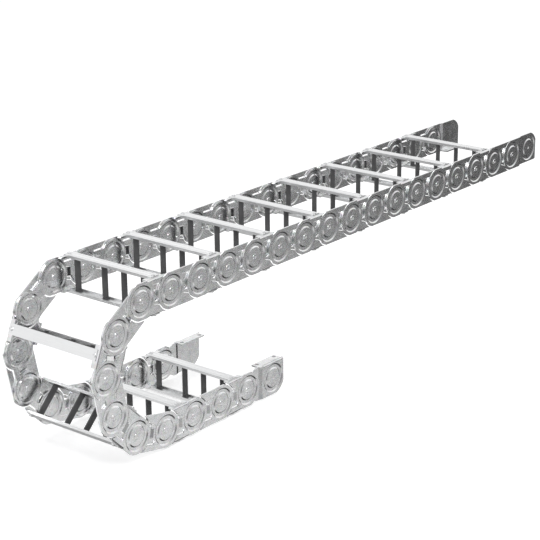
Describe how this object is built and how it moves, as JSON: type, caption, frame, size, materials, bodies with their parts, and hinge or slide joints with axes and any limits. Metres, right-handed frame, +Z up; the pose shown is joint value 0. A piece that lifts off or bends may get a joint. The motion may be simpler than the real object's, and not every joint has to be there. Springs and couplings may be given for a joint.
{
  "type": "cable drag chain",
  "caption": "Steel cable drag chain of riveted side plates with crossbars and dividers, rolled in a U between two pairs of mounting brackets.",
  "frame": {"origin": "centre of the fixed end's four mounting holes, on the upper face of its flanges", "axes": "+X along the straight runs, from the bend towards the moving end; +Y from the near band to the far band, along every pivot; +Z up, out of the fixed end's mounting face"},
  "size_m": [1.2405, 0.1874, 0.2829],
  "materials": {
    "plate_steel": "bright zinc-plated pressed steel sheet",
    "bracket_steel": "bright zinc-plated pressed steel sheet",
    "bar_aluminium": "plain extruded aluminium",
    "divider_plastic": "matt dark grey moulded plastic"
  },
  "bodies": {
    "fixed_end": {"fixed_end_brackets": "bracket_steel"},
    "link_01": {"link_01": "plate_steel", "crossbars_01": "bar_aluminium", "dividers_01": "divider_plastic"},
    "link_02": {"link_02": "plate_steel"},
    "link_03": {"link_03": "plate_steel", "crossbars_03": "bar_aluminium", "dividers_03": "divider_plastic"},
    "link_04": {"link_04": "plate_steel"},
    "link_05": {"link_05": "plate_steel", "crossbars_05": "bar_aluminium", "dividers_05": "divider_plastic"},
    "link_06": {"link_06": "plate_steel"},
    "link_07": {"link_07": "plate_steel", "crossbars_07": "bar_aluminium", "dividers_07": "divider_plastic"},
    "link_08": {"link_08": "plate_steel"},
    "link_09": {"link_09": "plate_steel", "crossbars_09": "bar_aluminium", "dividers_09": "divider_plastic"},
    "link_10": {"link_10": "plate_steel"},
    "link_11": {"link_11": "plate_steel", "crossbars_11": "bar_aluminium", "dividers_11": "divider_plastic"},
    "link_12": {"link_12": "plate_steel"},
    "link_13": {"link_13": "plate_steel", "crossbars_13": "bar_aluminium", "dividers_13": "divider_plastic"},
    "link_14": {"link_14": "plate_steel"},
    "link_15": {"link_15": "plate_steel", "crossbars_15": "bar_aluminium", "dividers_15": "divider_plastic"},
    "link_16": {"link_16": "plate_steel"},
    "link_17": {"link_17": "plate_steel", "crossbars_17": "bar_aluminium", "dividers_17": "divider_plastic"},
    "link_18": {"link_18": "plate_steel"},
    "link_19": {"link_19": "plate_steel", "crossbars_19": "bar_aluminium", "dividers_19": "divider_plastic"},
    "link_20": {"link_20": "plate_steel"},
    "link_21": {"link_21": "plate_steel", "crossbars_21": "bar_aluminium", "dividers_21": "divider_plastic"},
    "link_22": {"link_22": "plate_steel"},
    "link_23": {"link_23": "plate_steel", "crossbars_23": "bar_aluminium", "dividers_23": "divider_plastic"},
    "link_24": {"link_24": "plate_steel"},
    "moving_end": {"moving_end_brackets": "bracket_steel"}
  },
  "joints": [
    {"name": "pivot_01", "type": "hinge", "parent": "fixed_end", "child": "link_01", "pos_m": [-0.06, 0, -0.0285], "axis": [0, 1, 0], "range_deg": [0, 33.74]},
    {"name": "pivot_02", "type": "hinge", "parent": "link_01", "child": "link_02", "pos_m": [-0.125, 0, -0.0285], "axis": [0, 1, 0], "range_deg": [0, 33.74]},
    {"name": "pivot_03", "type": "hinge", "parent": "link_02", "child": "link_03", "pos_m": [-0.19, 0, -0.0285], "axis": [0, 1, 0], "range_deg": [0, 33.74]},
    {"name": "pivot_04", "type": "hinge", "parent": "link_03", "child": "link_04", "pos_m": [-0.255, 0, -0.0285], "axis": [0, 1, 0], "range_deg": [-11.31, 22.42]},
    {"name": "pivot_05", "type": "hinge", "parent": "link_04", "child": "link_05", "pos_m": [-0.31874, 0, -0.01575], "axis": [0, 1, 0], "range_deg": [-33.74, 0]},
    {"name": "pivot_06", "type": "hinge", "parent": "link_05", "child": "link_06", "pos_m": [-0.36466, 0, 0.03025], "axis": [0, 1, 0], "range_deg": [-33.74, 0]},
    {"name": "pivot_07", "type": "hinge", "parent": "link_06", "child": "link_07", "pos_m": [-0.3773, 0, 0.09401], "axis": [0, 1, 0], "range_deg": [-33.74, 0]},
    {"name": "pivot_08", "type": "hinge", "parent": "link_07", "child": "link_08", "pos_m": [-0.3524, 0, 0.15405], "axis": [0, 1, 0], "range_deg": [-33.74, 0]},
    {"name": "pivot_09", "type": "hinge", "parent": "link_08", "child": "link_09", "pos_m": [-0.29834, 0, 0.19015], "axis": [0, 1, 0], "range_deg": [-22.42, 0]},
    {"name": "pivot_10", "type": "hinge", "parent": "link_09", "child": "link_10", "pos_m": [-0.23334, 0, 0.19015], "axis": [0, 1, 0], "range_deg": [0, 33.74]},
    {"name": "pivot_11", "type": "hinge", "parent": "link_10", "child": "link_11", "pos_m": [-0.16834, 0, 0.19015], "axis": [0, 1, 0], "range_deg": [0, 33.74]},
    {"name": "pivot_12", "type": "hinge", "parent": "link_11", "child": "link_12", "pos_m": [-0.10334, 0, 0.19015], "axis": [0, 1, 0], "range_deg": [0, 33.74]},
    {"name": "pivot_13", "type": "hinge", "parent": "link_12", "child": "link_13", "pos_m": [-0.03834, 0, 0.19015], "axis": [0, 1, 0], "range_deg": [0, 33.74]},
    {"name": "pivot_14", "type": "hinge", "parent": "link_13", "child": "link_14", "pos_m": [0.02666, 0, 0.19015], "axis": [0, 1, 0], "range_deg": [0, 33.74]},
    {"name": "pivot_15", "type": "hinge", "parent": "link_14", "child": "link_15", "pos_m": [0.09166, 0, 0.19015], "axis": [0, 1, 0], "range_deg": [0, 33.74]},
    {"name": "pivot_16", "type": "hinge", "parent": "link_15", "child": "link_16", "pos_m": [0.15666, 0, 0.19015], "axis": [0, -1, 0], "range_deg": [-33.74, 0]},
    {"name": "pivot_17", "type": "hinge", "parent": "link_16", "child": "link_17", "pos_m": [0.22166, 0, 0.19015], "axis": [0, -1, 0], "range_deg": [-33.74, 0]},
    {"name": "pivot_18", "type": "hinge", "parent": "link_17", "child": "link_18", "pos_m": [0.28666, 0, 0.19015], "axis": [0, -1, 0], "range_deg": [-33.74, 0]},
    {"name": "pivot_19", "type": "hinge", "parent": "link_18", "child": "link_19", "pos_m": [0.35166, 0, 0.19015], "axis": [0, -1, 0], "range_deg": [-33.74, 0]},
    {"name": "pivot_20", "type": "hinge", "parent": "link_19", "child": "link_20", "pos_m": [0.41666, 0, 0.19015], "axis": [0, -1, 0], "range_deg": [-33.74, 0]},
    {"name": "pivot_21", "type": "hinge", "parent": "link_20", "child": "link_21", "pos_m": [0.48166, 0, 0.19015], "axis": [0, 1, 0], "range_deg": [0, 33.74]},
    {"name": "pivot_22", "type": "hinge", "parent": "link_21", "child": "link_22", "pos_m": [0.54666, 0, 0.19015], "axis": [0, -1, 0], "range_deg": [-33.74, 0]},
    {"name": "pivot_23", "type": "hinge", "parent": "link_22", "child": "link_23", "pos_m": [0.61166, 0, 0.19015], "axis": [0, 1, 0], "range_deg": [0, 33.74]},
    {"name": "pivot_24", "type": "hinge", "parent": "link_23", "child": "link_24", "pos_m": [0.67666, 0, 0.19015], "axis": [0, -1, 0], "range_deg": [-33.74, 0]},
    {"name": "pivot_25", "type": "hinge", "parent": "link_24", "child": "moving_end", "pos_m": [0.74166, 0, 0.19015], "axis": [0, -1, 0], "range_deg": [-33.74, 0]}
  ],
  "couplings": [
    {"joint": "pivot_10", "follows": "pivot_05", "ratio": -1},
    {"joint": "pivot_11", "follows": "pivot_06", "ratio": -1},
    {"joint": "pivot_08", "follows": "pivot_03", "ratio": -1},
    {"joint": "pivot_07", "follows": "pivot_02", "ratio": -1},
    {"joint": "pivot_04", "follows": "pivot_09", "ratio": -1}
  ]
}
